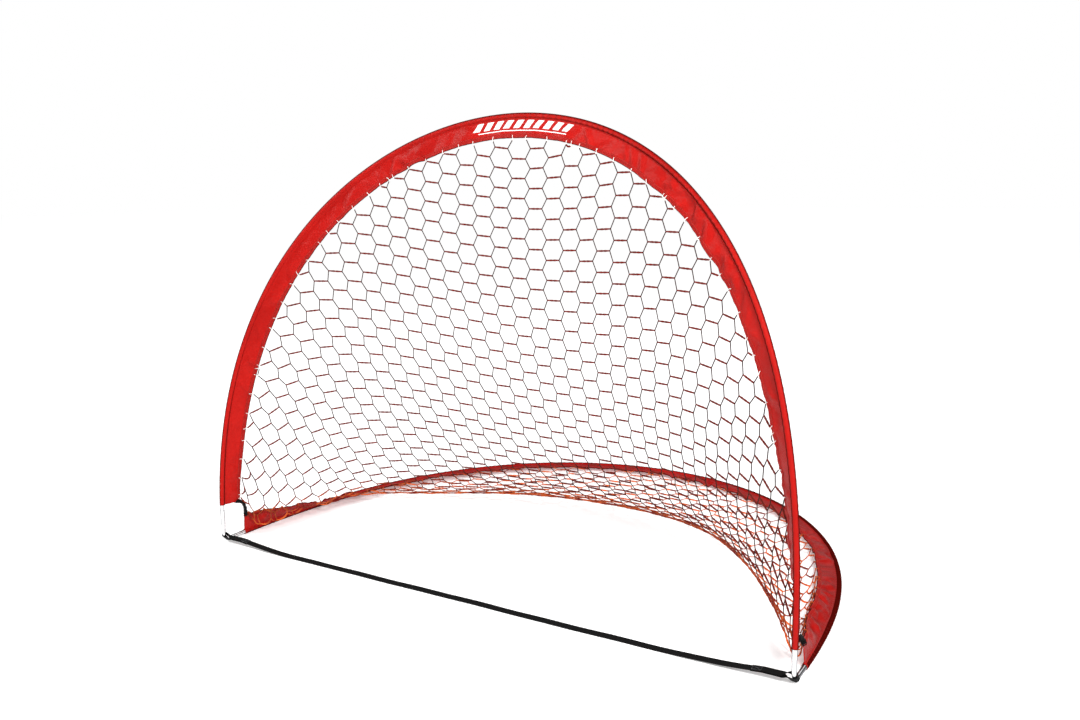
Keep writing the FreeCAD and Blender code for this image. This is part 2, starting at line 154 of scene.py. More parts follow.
class Hoop:
    """Places on a hoop by its length from the right elbow, over the crown, to the left elbow."""

    def __init__(self, upright, right_start, left_start):
        self.upright = upright
        self.start = right_start
        self.total = 2 * ARCH.length[-1]
        self.end = self.total - left_start

    def frame_at(self, where):
        """Rod centre, rod direction, inward direction and face normal, one row per place."""
        where = np.asarray(where, float)
        side = np.where(where <= self.total / 2, 1.0, -1.0)
        near = np.minimum(where, self.total - where)
        x = np.interp(near, ARCH.length, ARCH.x) * side
        rise = np.interp(near, ARCH.length, ARCH.rise)
        angle = np.interp(near, ARCH.length, ARCH.angle)
        zero = np.zeros_like(x)
        across = np.stack([np.ones_like(x), zero, zero], 1)
        if self.upright:
            turn = 2 * LEAN_RATE * rise
            flat = np.sqrt(1 - turn ** 2)
            height = rise / 2 * flat + np.arcsin(turn) / (4 * LEAN_RATE)
            centre = np.stack([x, LEAN_START + LEAN_RATE * rise ** 2, height], 1)
            up = np.stack([zero, turn, flat], 1)
            back = np.stack([zero, flat, -turn], 1)
            fade = np.exp(-np.maximum(rise - FOLD.z, 0) / FRONT_TWIST_DECAY)
            twist = FRONT_REST + (FRONT_TWIST - FRONT_REST) * fade
        else:
            centre = np.stack([x, rise, zero + REAR_AXIS_HEIGHT], 1)
            up = np.stack([zero, zero + 1, zero], 1)
            back = np.stack([zero, zero, zero + 1], 1)
            fade = np.exp(-(rise - REAR_SLEEVE_START) / REAR_TWIST_DECAY)
            twist = REAR_REST + (REAR_TWIST - REAR_REST) * fade
        sine, cosine = (np.sin(angle) * side)[:, None], np.cos(angle)[:, None]
        along = (up * cosine - across * sine) * side[:, None]
        inward = -across * cosine * side[:, None] - up * np.sin(angle)[:, None]
        inward = inward * np.cos(twist)[:, None] + back * np.sin(twist)[:, None]
        face = np.cross(along, inward)
        return centre, along, inward, face


FRONT = Hoop(True, FOLD.z - SLEEVE_SLIP, FOLD.z)
REAR = Hoop(False, REAR_SLEEVE_START, REAR_SLEEVE_START)


# ---- mesh helpers --------------------------------------------------------------------------------
def new_object(name, verts, faces, material, uvs=None, smooth=True):
    mesh = bpy.data.meshes.new(name)
    mesh.from_pydata(np.asarray(verts, float).reshape(-1, 3).tolist(), [], faces)
    mesh.materials.append(material)
    if uvs is not None:
        corner = np.zeros(len(mesh.loops), np.int32)
        mesh.loops.foreach_get("vertex_index", corner)
        layer = mesh.uv_layers.new(name="cloth")
        layer.data.foreach_set("uv", np.asarray(uvs, np.float32)[corner].ravel())
    mesh.polygons.foreach_set("use_smooth", np.full(len(mesh.polygons), smooth))
    mesh.update()
    obj = bpy.data.objects.new(name, mesh)
    bpy.context.scene.collection.objects.link(obj)
    return obj


def skin_faces(tubes, rings, sides, closed=False):
    """Faces of tubes whose vertices run tube by tube, ring by ring, with flat ends unless closed."""
    index = np.arange(tubes * rings * sides).reshape(tubes, rings, sides)
    turned = np.roll(index, -1, axis=2)
    if closed:
        quads = np.stack([index, turned, np.roll(turned, -1, 1), np.roll(index, -1, 1)], -1)
        return quads.reshape(-1, 4).tolist()
    quads = np.stack([index[:, :-1], turned[:, :-1], turned[:, 1:], index[:, 1:]], -1)
    ends = np.concatenate([index[:, 0, ::-1], index[:, -1]])
    return quads.reshape(-1, 4).tolist() + ends.tolist()


def unit(v):
    return v / np.maximum(np.linalg.norm(v, axis=-1, keepdims=True), 1e-12)


def smooth_step(t):
    t = np.clip(t, 0, 1)
    return t * t * (3 - 2 * t)


def tube_rings(paths, radius, sides, lobes=0.0, turns=0.0, guide=None, closed=False):
    """Rings round paths of shape (tubes, rings, 3). Lobes and turns make a twisted double thread."""
    tangent = unit(np.gradient(paths, axis=1))
    if closed:
        tangent = unit(np.roll(paths, -1, axis=1) - np.roll(paths, 1, axis=1))
    if guide is None:
        chord = unit(paths[:, -1:] - paths[:, :1])
        guide = np.where(np.abs(chord[..., 2:]) > 0.9, [1.0, 0.0, 0.0], [0.0, 0.0, 1.0])
    normal = unit(guide - tangent * np.sum(guide * tangent, -1, keepdims=True))
    binormal = np.cross(tangent, normal)
    angle = np.arange(sides) * 2 * math.pi / sides
    along = np.linspace(0, 1, paths.shape[1])[:, None]
    reach = 1 + lobes * np.cos(2 * (angle - turns * 2 * math.pi * along))
    reach = (reach * np.asarray(radius).reshape(-1, 1))[None, ..., None]
    around = (normal[:, :, None] * np.cos(angle)[:, None]
              + binormal[:, :, None] * np.sin(angle)[:, None])
    return paths[:, :, None] + reach * around


def tube_object(name, paths, radius, sides, material, lobes=0.0, turns=0.0, guide=None,
                closed=False):
    paths = np.asarray(paths, float)
    rings = tube_rings(paths, radius, sides, lobes, turns, guide, closed)
    faces = skin_faces(len(paths), paths.shape[1], sides, closed)
    return new_object(name, rings, faces, material)


def bowed_paths(first, middle, last, count):
    """Smooth paths through three points each, as (tubes, count, 3)."""
    t = np.linspace(0, 1, count)[None, :, None]
    control = (2 * middle - (first + last) / 2)[:, None]
    return (1 - t) ** 2 * first[:, None] + 2 * t * (1 - t) * control + t ** 2 * last[:, None]


# ---- creases and waves of the sleeves ------------------------------------------------------------
class Creases:
    """How far a sleeve's cloth stands off its own sheet, by place along the hoop and reach."""

    def __init__(self, hoop, seed, slack_places):
        draw = np.random.default_rng(seed)
        self.hoop = hoop
        length = draw.uniform(0.16, 0.34, 5)
        self.wave_rate = 2 * math.pi / length
        self.wave_phase = draw.uniform(0, 2 * math.pi, 5)
        self.wave_height = draw.uniform(0.0006, 0.0011, 5)
        self.pucker_phase = draw.uniform(0, 2 * math.pi, 4)
        count = int((hoop.end - hoop.start) / CREASE_PITCH)
        self.place = draw.uniform(hoop.start + 0.03, hoop.end - 0.03, count)
        self.reach = draw.uniform(0.012, 0.055, count)
        self.slope = draw.uniform(0.5, 1.7, count) * draw.choice([-1, 1], count)
        self.length = draw.uniform(0.018, 0.055, count)
        self.width = draw.uniform(0.0065, 0.0150, count)
        self.height = draw.uniform(0.0018, 0.0072, count) * draw.choice([-1, 1, 1], count)
        slack = sum(np.exp(-((self.place - place) / spread) ** 2) for place, spread in slack_places)
        self.height = self.height * (0.45 + 1.0 * slack)

    def lift(self, where, reach):
        """Offsets along the face normal for a (places, reaches) grid."""
        where, reach = np.asarray(where, float)[:, None], np.asarray(reach, float)[None, :]
        free = np.clip((reach - 0.5 * CHANNEL_RADIUS) / HEM, 0, 1.1)
        total = np.zeros((where.shape[0], reach.shape[1]))
        for rate, phase, height in zip(self.wave_rate, self.wave_phase, self.wave_height):
            total += height * np.sin(rate * where + phase) * free ** 1.5
        by_hem = np.exp(-np.abs(HEM - reach) / 0.014)
        by_rod = np.exp(-np.abs(reach - CHANNEL_RADIUS) / 0.010)
        phase = 2 * math.pi * where / 0.021 + 2.2 * np.sin(where * 17 + self.pucker_phase[0])
        total += 0.00050 * np.sin(phase) * by_hem
        phase = 2 * math.pi * where / 0.016 + 2.6 * np.sin(where * 23 + self.pucker_phase[1])
        total += 0.00034 * np.sin(phase) * by_rod
        for i in range(len(self.place)):
            rows = np.nonzero(np.abs(where[:, 0] - self.place[i]) < 0.075)[0]
            if not len(rows):
                continue
            rows = slice(rows[0], rows[-1] + 1)
            along, across = where[rows] - self.place[i], reach - self.reach[i]
            turn = math.atan(self.slope[i])
            run = along * math.cos(turn) + across * math.sin(turn)
            side = across * math.cos(turn) - along * math.sin(turn)
            fold = np.exp(-(side / self.width[i]) ** 2) * np.exp(-(run / self.length[i]) ** 4)
            total[rows] += self.height[i] * fold * np.clip(free * 2.2, 0, 1)
        ends = np.minimum(where - self.hoop.start, self.hoop.end - where)
        return CREASE_LIMIT * np.tanh(total / CREASE_LIMIT) * smooth_step(ends / 0.035)


def place_on(hoop, creases, where, reach, lift):
    """Points at (places, reaches) with extra offsets along the face normal."""
    centre, _, inward, face = hoop.frame_at(where)
    total = creases.lift(where, reach) + lift
    reach = np.broadcast_to(np.asarray(reach, float), total.shape)
    return centre[:, None] + inward[:, None] * reach[..., None] + face[:, None] * total[..., None]


FRONT_CREASES = Creases(FRONT, 11, FRONT_SLACK)
REAR_CREASES = Creases(REAR, 12, REAR_SLACK)


# ---- sleeves -------------------------------------------------------------------------------------
def sleeve_outline():
    """Reaches, half-thicknesses and cloth widths round a sleeve: web, rod channel and web again."""
    web = np.linspace(HEM - 0.0015, CHANNEL_RADIUS + 0.0012, 19)
    puff = np.sin(math.pi * (web - CHANNEL_RADIUS) / (HEM - CHANNEL_RADIUS)) ** 0.6
    half = WEB_HALF * (0.75 + 0.75 * np.nan_to_num(puff))
    turn = np.linspace(math.radians(26), math.radians(334), 17)
    channel_reach, channel_half = CHANNEL_RADIUS * np.cos(turn), CHANNEL_RADIUS * np.sin(turn)
    reach = np.concatenate([web, channel_reach, web[::-1]])
    half = np.concatenate([half, channel_half, -half[::-1]])
    steps = np.hypot(np.diff(reach), np.diff(half))
    return reach, half, np.concatenate([[0.0], np.cumsum(steps)])


def sleeve(name, hoop, creases, material):
    count = int((hoop.end - hoop.start) / SLEEVE_STEP) + 1
    where = np.linspace(hoop.start, hoop.end, count)
    reach, half, across = sleeve_outline()
    drawn_in = 0.00028 * np.sin(2 * math.pi * where / 0.019 + 2.4 * np.sin(where * 13))[:, None]
    on_channel = (np.abs(half) > 0.003)[None, :]
    points = place_on(hoop, creases, where, reach, half[None, :] * (1 + drawn_in / 0.008 * on_channel))
    uvs = np.stack(np.broadcast_arrays(where[:, None], across[None, :]), -1).reshape(-1, 2)
    return new_object(name, points, skin_faces(1, count, len(reach)), material, uvs)


def binding_outline():
    """Closed outline of the folded tape, as reaches and half-thicknesses."""
    foot = HEM - BINDING_WIDTH
    reach = [foot, foot + 0.0012, foot + 0.0045, foot + 0.0075, HEM - 0.0003, HEM + 0.0009]
    half = [0.0012, 0.00175, 0.0021, 0.00175, 0.00195, 0.0011]
    reach = reach + reach[::-1]
    half = half + [-h for h in half[::-1]]
    return np.array(reach), np.array(half)


def hem_tape(name, hoop, creases, material):
    count = int((hoop.end - hoop.start) / SLEEVE_STEP) + 1
    where = np.linspace(hoop.start, hoop.end, count)
    reach, half = binding_outline()
    gather = 1 + 0.16 * np.sin(2 * math.pi * where / 0.0125 + 1.8 * np.sin(where * 19))[:, None]
    points = place_on(hoop, creases, where, reach, half[None, :] * gather)
    across = np.concatenate([[0.0], np.cumsum(np.hypot(np.diff(reach), np.diff(half)))])
    uvs = np.stack(np.broadcast_arrays(where[:, None], across[None, :]), -1).reshape(-1, 2)
    return new_object(name, points, skin_faces(1, count, len(reach)), material, uvs)


def stitch_rows(name, hoop, creases, rows, material):
    """Rows of single stitches; each row is a (reach, lift above the sheet) pair."""
    starts = np.arange(hoop.start + 0.006, hoop.end - 0.006, STITCH_PITCH)
    shape = np.linspace(-0.5, 0.5, 4)
    paths = []
    for reach, lift in rows:
        where = (starts[:, None] + shape[None, :] * STITCH_LENGTH).reshape(-1)
        bow = np.tile(lift + np.sign(lift) * 0.00022 * (1 - (2 * shape) ** 2), len(starts))
        line = place_on(hoop, creases, where, [reach], bow[:, None])
        paths.append(line.reshape(len(starts), 4, 3))
    return tube_object(name, np.concatenate(paths), STITCH_RADIUS, 5, material)


def hem_rim(name, hoop, creases, material):
    """Dark rim along a sleeve's inner hem: a thin tube of painted shade where the folded hem edge is
    shaded.
    """
    count = int((hoop.end - hoop.start) / SLEEVE_STEP) + 1
    where = np.linspace(hoop.start, hoop.end, count)
    path = place_on(hoop, creases, where, [HEM + 0.0006], 0.0)[:, 0]
    return tube_object(name, path[None], RIM_RADIUS, 8, material,
                       guide=hoop.frame_at(where)[3][None])


# ---- net: cut pattern ----------------------------------------------------------------------------
class CutNet:
    """The net as cut: a hexagon mesh inside an outline whose head fits the front hoop's hem.

    Every column of it hangs from the front hem to a fold line on the ground and lies from there
    to the rear hem, so its cut length follows from the places of both hems and of that line."""

    def __init__(self):
        self.head_hem = self.hem(FRONT, FRONT_CREASES)
        self.foot_hem = self.hem(REAR, REAR_CREASES)
        _, points, self.head_run = self.head_hem
        steps = np.diff(points, axis=0)
        length = np.linalg.norm(steps, axis=1)
        slope = np.arccos(np.clip(-steps[:, 0] / length, 0, 1))
        slope = slope * (1 - NET_FLARE * (slope / (math.pi / 2)) ** 2)
        down = np.where(self.head_run[1:] <= 0.5, -1.0, 1.0)
        u = np.concatenate([[0.0], -np.cumsum(length * np.cos(slope))])
        head = np.concatenate([[0.0], np.cumsum(length * np.sin(slope) * down)])
        crown = np.argmin(head)
        self.u, self.head = u - u[crown], head - head[crown]
        self.side = min(self.u[0], -self.u[-1])
        self.top = points
        self.foot_run = self.head_run
        for _ in range(12):
            self.low = self.on_hem(self.foot_hem, self.foot_run)[1]
            self.touch = self.fold_points(self.top, self.low)
            self.fall = np.linalg.norm(self.top - self.touch, axis=1)
            self.lie = np.linalg.norm(self.touch - self.low, axis=1)
            give = NET_GIVE + SIDE_GIVE * (self.u / self.side) ** 2
            self.foot = self.head + give * (self.fall + self.lie)
            steps = np.hypot(np.diff(self.u), np.diff(self.foot))
            run = np.concatenate([[0.0], np.cumsum(steps)])
            self.foot_run = run / run[-1]

    @staticmethod
    def hem(hoop, creases):
        """Places along the hoop, points just inside its hem, and run along them from 0 to 1."""
        places = np.linspace(hoop.start + 0.012, hoop.end - 0.012, 1501)
        points = place_on(hoop, creases, places, [HEM + NET_GAP], 0.0)[:, 0]
        run = np.concatenate([[0.0], np.cumsum(np.linalg.norm(np.diff(points, axis=0), axis=1))])
        return places, points, run / run[-1]

    @staticmethod
    def on_hem(hem, run):
        places, points, hem_run = hem
        found = np.stack([np.interp(run, hem_run, points[:, axis]) for axis in range(3)], 1)
        return np.interp(run, hem_run, places), found

    @staticmethod
    def fold_points(top, low):
        """Where each column meets the ground, seen from above on its way to the rear hem."""
        near, far = np.zeros(len(top)), np.ones(len(top))
        for _ in range(30):
            share = (near + far) / 2
            point = top + (low - top) * share[:, None]
            aside = point[:, 0] - FOLD_MIDDLE
            forward = np.where(aside > 0, FOLD_RIGHT, FOLD_LEFT) * np.abs(aside) ** FOLD_POWER
            short = point[:, 1] < FOLD_BACK - forward
            near, far = np.where(short, share, near), np.where(short, far, share)
        point[:, 2] = GROUND
        return point

    def at(self, u, values):
        """Values of the outline's columns, which run from the right, at these places across."""
        if values.ndim == 1:
            return np.interp(u, self.u[::-1], values[::-1])
        return np.stack([self.at(u, values[:, axis]) for axis in range(3)], 1)

    def inside(self, points):
        u, v = points[:, 0], points[:, 1]
        return (np.abs(u) < self.side) & (v > self.at(u, self.head)) & (v < self.at(u, self.foot))

    def tie(self, point):
        """Whether an outline point is tied to the front hem, and its place and point there."""
        gaps = [np.hypot(self.u - point[0], edge - point[1]) for edge in (self.head, self.foot)]
        at_head = bool(gaps[0].min() <= gaps[1].min())
        hem, run = (self.head_hem, self.head_run) if at_head else (self.foot_hem, self.foot_run)
        nearest = np.argmin(gaps[0] if at_head else gaps[1])
        place, found = self.on_hem(hem, run[nearest:nearest + 1])
        return at_head, place[0], found[0]

    def drape(self, points):
        """A first guess of the hung net: straight from the front hem to the ground, then back."""
        u = points[:, 0]
        fall, lie = self.at(u, self.fall), self.at(u, self.lie)
        head, foot = self.at(u, self.head), self.at(u, self.foot)
        level = (points[:, 1] - head) / (foot - head) * (fall + lie)
        hanging = np.clip(level / fall, 0, 1)[:, None]
        lying = np.clip((level - fall) / np.maximum(lie, 1e-6), 0, 1)[:, None]
        top, touch, low = (self.at(u, values) for values in (self.top, self.touch, self.low))
        return top + (touch - top) * hanging + (low - touch) * lying


def mesh_strands(cut):
    """Flat strands of the hexagon mesh, as (kind, two ends); kinds are joints and two legs.

    The mesh is turned a little off the outline's grain."""
    columns = int(cut.side / MESH_COLUMN) + 6
    rows = int(cut.foot.max() / MESH_ROW) + 4
    ends, kinds = [], []
    for column in range(-columns, columns + 1):
        for row in range(-4, rows):
            level = (row + (column % 2) / 2) * MESH_ROW
            left = (column * MESH_COLUMN - JOINT_LENGTH / 2, level)
            right = (column * MESH_COLUMN + JOINT_LENGTH / 2, level)
            beyond = right[0] + MESH_COLUMN - JOINT_LENGTH
            ends += [(left, right), (right, (beyond, level - MESH_ROW / 2)),
                     (right, (beyond, level + MESH_ROW / 2))]
            kinds += [0, 1, 2]
    cosine, sine = math.cos(MESH_SKEW), math.sin(MESH_SKEW)
    return np.array(kinds), np.array(ends) @ np.array([[cosine, -sine], [sine, cosine]])


def clip_strands(cut, kinds, ends):
    """Strands inside the outline; those that cross it are cut there."""
    first_in, last_in = cut.inside(ends[:, 0]), cut.inside(ends[:, 1])
    keep = first_in | last_in
    kinds, ends, first_in, last_in = kinds[keep], ends[keep], first_in[keep], last_in[keep]
    crossing = ~(first_in & last_in)
    inner = np.where(first_in[:, None], ends[:, 0], ends[:, 1])
    outer = np.where(first_in[:, None], ends[:, 1], ends[:, 0])
    near, far = np.zeros(len(ends)), np.ones(len(ends))
    for _ in range(30):
        share = (near + far) / 2
        within = cut.inside(inner + (outer - inner) * share[:, None])
        near, far = np.where(within, share, near), np.where(within, far, share)
    cross = inner + (outer - inner) * near[:, None]
    ends[~first_in, 0] = cross[~first_in]
    ends[~last_in, 1] = cross[~last_in]
    return kinds, ends, crossing, np.where(crossing & ~first_in, 0, 1)


class HungNet:
    """Particles of the net: its knots, the ends tied to the hems, and each strand's middle."""

    def __init__(self, cut):
        kinds, ends, crossing, tied_end = clip_strands(cut, *mesh_strands(cut))
        length = np.linalg.norm(ends[:, 1] - ends[:, 0], axis=1)
        keys = np.round(ends.reshape(-1, 2) * 1e5).astype(np.int64)
        _, first, index = np.unique(keys, axis=0, return_index=True, return_inverse=True)
        flat = ends.reshape(-1, 2)[first]
        index = index.reshape(-1, 2)
        rows = np.arange(len(kinds))
        short = crossing & (length < SHORTEST_STRAND)
        tied = set(index[rows, tied_end][crossing & ~short])
        tied |= set(index[rows, 1 - tied_end][short])
        kinds, ends, length, self.ends = kinds[~short], ends[~short], length[~short], index[~short]
        self.kinds = kinds
        self.middles = len(flat) + np.arange(len(kinds))
        draw = np.random.default_rng(21)
        self.rest = length * draw.uniform(0.985, 1.02, len(length))
        flat_all = np.concatenate([flat, ends.mean(axis=1)])
        self.points = cut.drape(flat_all)
        self.points += draw.normal(0, 0.0015, self.points.shape)
        self.floor = GROUND + draw.uniform(0, 0.0022, len(flat_all))
        self.free = np.ones(len(flat_all))
        self.ties = []
        used = set(self.ends.ravel())
        for knot in sorted(tied & used):
            at_head, place, self.points[knot] = cut.tie(flat[knot])
            self.free[knot] = 0.0
            self.ties.append((at_head, place, knot))

    def links(self):
        """Half strands in sets that share no particle, each with its rest length."""
        sets = []
        for kind in range(3):
            rows = np.nonzero(self.kinds == kind)[0]
            for end in range(2):
                knots, middles = self.ends[rows, end], self.middles[rows]
                ones, copies = np.unique(knots, return_counts=True)
                alone = ~np.isin(knots, ones[copies > 1])
                for part in (alone, ~alone):
                    if part.any():
                        sets.append((knots[part], middles[part], self.rest[rows][part] / 2))
        return sets

    def hang(self, steps, sweeps):
        """Lets the net fall: strands can't stretch but can go slack, and the ground holds them."""
        sets = self.links()
        points, before = self.points, self.points.copy()
        free = self.free[:, None]
        for step in range(steps):
            share = step / steps
            beat = 0.009 * (1 - share) + 0.0016 * share
            moved = (points - before) * NET_DAMPING
            before = points.copy()
            moved[:, 2] -= 9.81 * beat * beat
            points = points + moved * free
            for _ in range(sweeps):
                for knots, middles, rest in sets:
                    apart = points[middles] - points[knots]
                    gap = np.linalg.norm(apart, axis=1)
                    both = self.free[knots] + self.free[middles]
                    pull = np.maximum(gap - rest, 0) / np.maximum(gap, 1e-9) / both
                    apart *= pull[:, None]
                    points[knots] += apart * self.free[knots][:, None]
                    points[middles] -= apart * self.free[middles][:, None]
                points[:, 2] = np.where(self.free > 0, np.maximum(points[:, 2], self.floor),
                                        points[:, 2])
            held = (points[:, 2] <= self.floor + 1e-6) & (self.free > 0)
            slide = points[held, :2] - before[held, :2]
            points[held, :2] = before[held, :2] + slide * GROUND_SLIP
        self.points = points

    def turn_shares(self):
        """How far each particle turns with the front hoop: all at its hem, none on the ground."""
        y, z = self.points[:, 1] - FOLD.y, self.points[:, 2] - FOLD.z
        radius = np.maximum(np.hypot(y, z), 1e-6)
        rise = np.arctan2(z, y)
        lowest = -np.arcsin(np.clip((FOLD.z - GROUND) / radius, 0, 1))
        most = np.clip((rise - lowest) / FOLD_ANGLE, 0, 1)
        share = np.clip(rise / FOLD_ANGLE, 0, 1)
        fixed = np.full(len(share), np.nan)
        for at_head, _, knot in self.ties:
            fixed[knot] = hoop_shares(self.points[knot:knot + 1])[0] if at_head else 0.0
        held = ~np.isnan(fixed)
        share[held] = fixed[held]
        start = share.copy()
        a = np.concatenate([self.ends[:, 0], self.ends[:, 1]])
        b = np.concatenate([self.middles, self.middles])
        count = np.maximum(np.bincount(np.concatenate([a, b]), minlength=len(share)), 1)
        for _ in range(24):
            total = np.bincount(np.concatenate([a, b]), np.concatenate([share[b], share[a]]),
                                minlength=len(share))
            share = 0.5 * share + 0.35 * total / count + 0.15 * start
            share = np.minimum(share, most)
            share[held] = fixed[held]
        return share


# ---- net, ties, cords and strap: pieces ----------------------------------------------------------
def hoop_shares(points):
    """How far points of the front sleeve turn with it; its channel bends over the collars."""
    aside = np.hypot(HALF_WIDTH - np.abs(points[:, 0]), points[:, 1] - FOLD.y)
    beside = smooth_step((aside - 1.1 * CHANNEL_RADIUS) / 0.010)
    slipped = smooth_step((points[:, 2] - FOLD.z + SLEEVE_SLIP) / SLEEVE_SLIP)
    return np.maximum(smooth_step((points[:, 2] - FOLD.z) / SLEEVE_BEND), beside * slipped)


def blend_by_share(obj, share):
    """Writes a place from each vertex's share into obj for a moment, applies obj's transform and puts
    the old places back, so obj is left unbent.
    """
    mesh = obj.data
    places = np.zeros(len(mesh.vertices) * 3, np.float32)
    mesh.vertices.foreach_get("co", places)
    share = np.clip(share, 0, 1)
    lined_up = np.zeros((len(share), 3), np.float32)
    lined_up[:, 2] = 0.5 - np.sin(np.arcsin(1 - 2 * share) / 3)
    mesh.vertices.foreach_set("co", lined_up.ravel())
    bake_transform(obj)
    mesh.vertices.foreach_set("co", places)
    mesh.update()


def bend_with_hoop(obj):
    places = np.zeros(len(obj.data.vertices) * 3)
    obj.data.vertices.foreach_get("co", places)
    blend_by_share(obj, hoop_shares(places.reshape(-1, 3)))


def bend_between(obj, start, end):
    """Works out shares from the base at start to whatever the front sleeve does at end, and hands them
    to blend_by_share, which leaves obj unbent.
    """
    places = np.zeros(len(obj.data.vertices) * 3)
    obj.data.vertices.foreach_get("co", places)
    start, end = np.array(start), np.array(end)
    along = (places.reshape(-1, 3) - start) @ (end - start) / np.sum((end - start) ** 2)
    blend_by_share(obj, smooth_step(along) * hoop_shares(end[None])[0])


def strand_object(name, net, rows, radius, sides, count, material, lobes=0.0, turns=0.0):
    """Tubes along some of the net's strands, which follow both hoops."""
    first, middle, last = (net.points[net.ends[rows, 0]], net.points[net.middles[rows]],
                           net.points[net.ends[rows, 1]])
    paths = bowed_paths(first, middle, last, count)
    obj = tube_object(name, paths, radius, sides, material, lobes, turns)
    share = net.share[:, None]
    shares = bowed_paths(share[net.ends[rows, 0]], share[net.middles[rows]],
                         share[net.ends[rows, 1]], count)
    blend_by_share(obj, np.repeat(shares.reshape(-1), sides))
    return obj


def net_pieces(net, joint_thread, leg_thread):
    """Joints are thick twisted stretches, legs are single threads; the two halves by height."""
    level = net.points[net.middles][:, 2]
    made = []
    for part, rows_of in (("hanging", level > NET_SPLIT), ("lying", level <= NET_SPLIT)):
        joints = np.nonzero(rows_of & (net.kinds == 0))[0]
        legs = np.nonzero(rows_of & (net.kinds != 0))[0]
        swell = JOINT_RADIUS * (0.62 + 0.38 * np.sin(np.linspace(0.12, math.pi - 0.12, 9)) ** 0.5)
        made.append(strand_object("net_joints_" + part, net, joints, swell, 8, 9, joint_thread,
                                  lobes=0.16, turns=1.5))
        made.append(strand_object("net_legs_" + part, net, legs, LEG_RADIUS, 6, 7, leg_thread))
    return made


def tie_loops(name, net, at_head, hoop, creases, material):
    """Pale thread loops sewn through the hem, each with a small knot that holds the net."""
    draw = np.random.default_rng(31 if at_head else 32)
    turn = np.arange(16) * 2 * math.pi / 16
    paths, knots, guides = [], [], []
    for head, place, knot in net.ties:
        if head != at_head:
            continue
        slant = draw.normal(0, 0.0022)
        deep, far = HEM - TIE_BITE - draw.uniform(0, 0.002), HEM + NET_GAP
        middle, half = (deep + far) / 2, (far - deep) / 2
        reach = middle + half * np.cos(turn)
        lift = BINDING_HALF * 1.35 * np.sin(turn)
        where = place + slant * np.cos(turn)
        centre, along, inward, face = hoop.frame_at(where)
        guides.append(along)
        lift = lift + creases.lift(where[:1], [HEM])[0, 0]
        paths.append(centre + inward * reach[:, None] + face * lift[:, None])
        ball = net.points[knot] + draw.normal(0, 0.0004, 3)
        axis = unit(draw.normal(0, 1, 3))
        knots.append(ball + axis * np.linspace(-0.0024, 0.0024, 5)[:, None])
    loops = tube_object(name + "_loops", paths, TIE_THREAD, 5, material, guide=np.array(guides),
                        closed=True)
    swell = 0.0021 * np.sin(np.linspace(0.35, math.pi - 0.35, 5))
    ends = tube_object(name + "_knots", np.array(knots), swell, 8, material, 0.14, 0.4)
    return loops, ends


def coil(first, last, radius, turns, count=49):
    """One path that winds round the line from first to last."""
    axis = unit(last - first)
    guide = np.array([0.0, 0.0, 1.0]) if abs(axis[2]) < 0.8 else np.array([1.0, 0.0, 0.0])
    side = unit(np.cross(axis, guide))
    other = np.cross(axis, side)
    t = np.linspace(0, 1, count)[:, None]
    angle = 2 * math.pi * turns * t
    return first + (last - first) * t + radius * (side * np.cos(angle) + other * np.sin(angle))


def corner_cord(name, side, material):
    """Short braided cord that ties the two sleeves together at a corner, with wound ends."""
    front_where = FRONT.start + 0.001 if side > 0 else FRONT.end - 0.001
    rear_where = REAR.start + 0.001 if side > 0 else REAR.end - 0.001
    front = place_on(FRONT, FRONT_CREASES, [front_where], [HEM - 0.010], 0.0)[0, 0]
    rear = place_on(REAR, REAR_CREASES, [rear_where], [HEM - 0.004], 0.0)[0, 0]
    first = front + np.array([0, 0, 0.002])
    last = rear + np.array([0, 0.004, 0])
    bow = 0.22 * np.linalg.norm(last - first)
    middle = (first + last) / 2 + np.array([-side * 0.3 * bow, 0.5 * bow, 0.8 * bow])
    cord = bowed_paths(first[None], middle[None], last[None], 33)
    main = tube_object(name, cord, CORD_RADIUS, 16, material, lobes=0.10, turns=3.0)
    wraps, axes = [], []
    for near, far in ((cord[0, 0], cord[0, 6]), (cord[0, -1], cord[0, -7])):
        axes.append(unit(near - far)[None])
        wraps.append(coil(near + axes[-1][0] * 0.004, far, CORD_RADIUS + 0.0008, 3.5))
    ends = tube_object(name + "_whipping", wraps, 0.0011, 8, material, guide=np.array(axes))
    return main, ends


def strap_track():
    """Middle line of the ground strap as x and height, and its y."""
    offset = ELBOW_BEND * (1 - math.sqrt(0.5))
    end_x = HALF_WIDTH - LOOP_LENGTH
    x = np.linspace(-end_x, end_x, 261)
    ease = np.clip((np.abs(x) - STRAP_FLAT_HALF) / (end_x - STRAP_FLAT_HALF), 0, 1) ** 2
    low = (STRAP_WIDTH * math.sin(-STRAP_TILT) + STRAP_THICKNESS) / 2
    height = low + (REAR_AXIS_HEIGHT + offset - low) * ease
    return x, height, offset


def strap_turn(x):
    """Across and face directions of the strap, which turns to lie round the elbows' bends."""
    share = smooth_step((np.abs(x) - HALF_WIDTH + 0.030) / 0.022)
    tilt = (STRAP_TILT + (math.pi / 4 - STRAP_TILT) * share)[:, None]
    level, rise = np.array([0.0, 1.0, 0.0]), np.array([0.0, 0.0, 1.0])
    return level * np.cos(tilt) - rise * np.sin(tilt), level * np.sin(tilt) + rise * np.cos(tilt)


def band_outline(width, thickness, points=6):
    """Outline of a webbing's section, rounded at its edges, as (across, lift) pairs."""
    turn = np.linspace(-math.pi / 2, math.pi / 2, points)
    edge = width / 2 - thickness / 2
    right = np.stack([edge + thickness / 2 * np.cos(turn), thickness / 2 * np.sin(turn)], 1)
    flat = np.linspace(edge, -edge, 9)[1:-1]
    top = np.stack([flat, np.full(len(flat), thickness / 2)], 1)
    return np.concatenate([right, top, -right, -top])


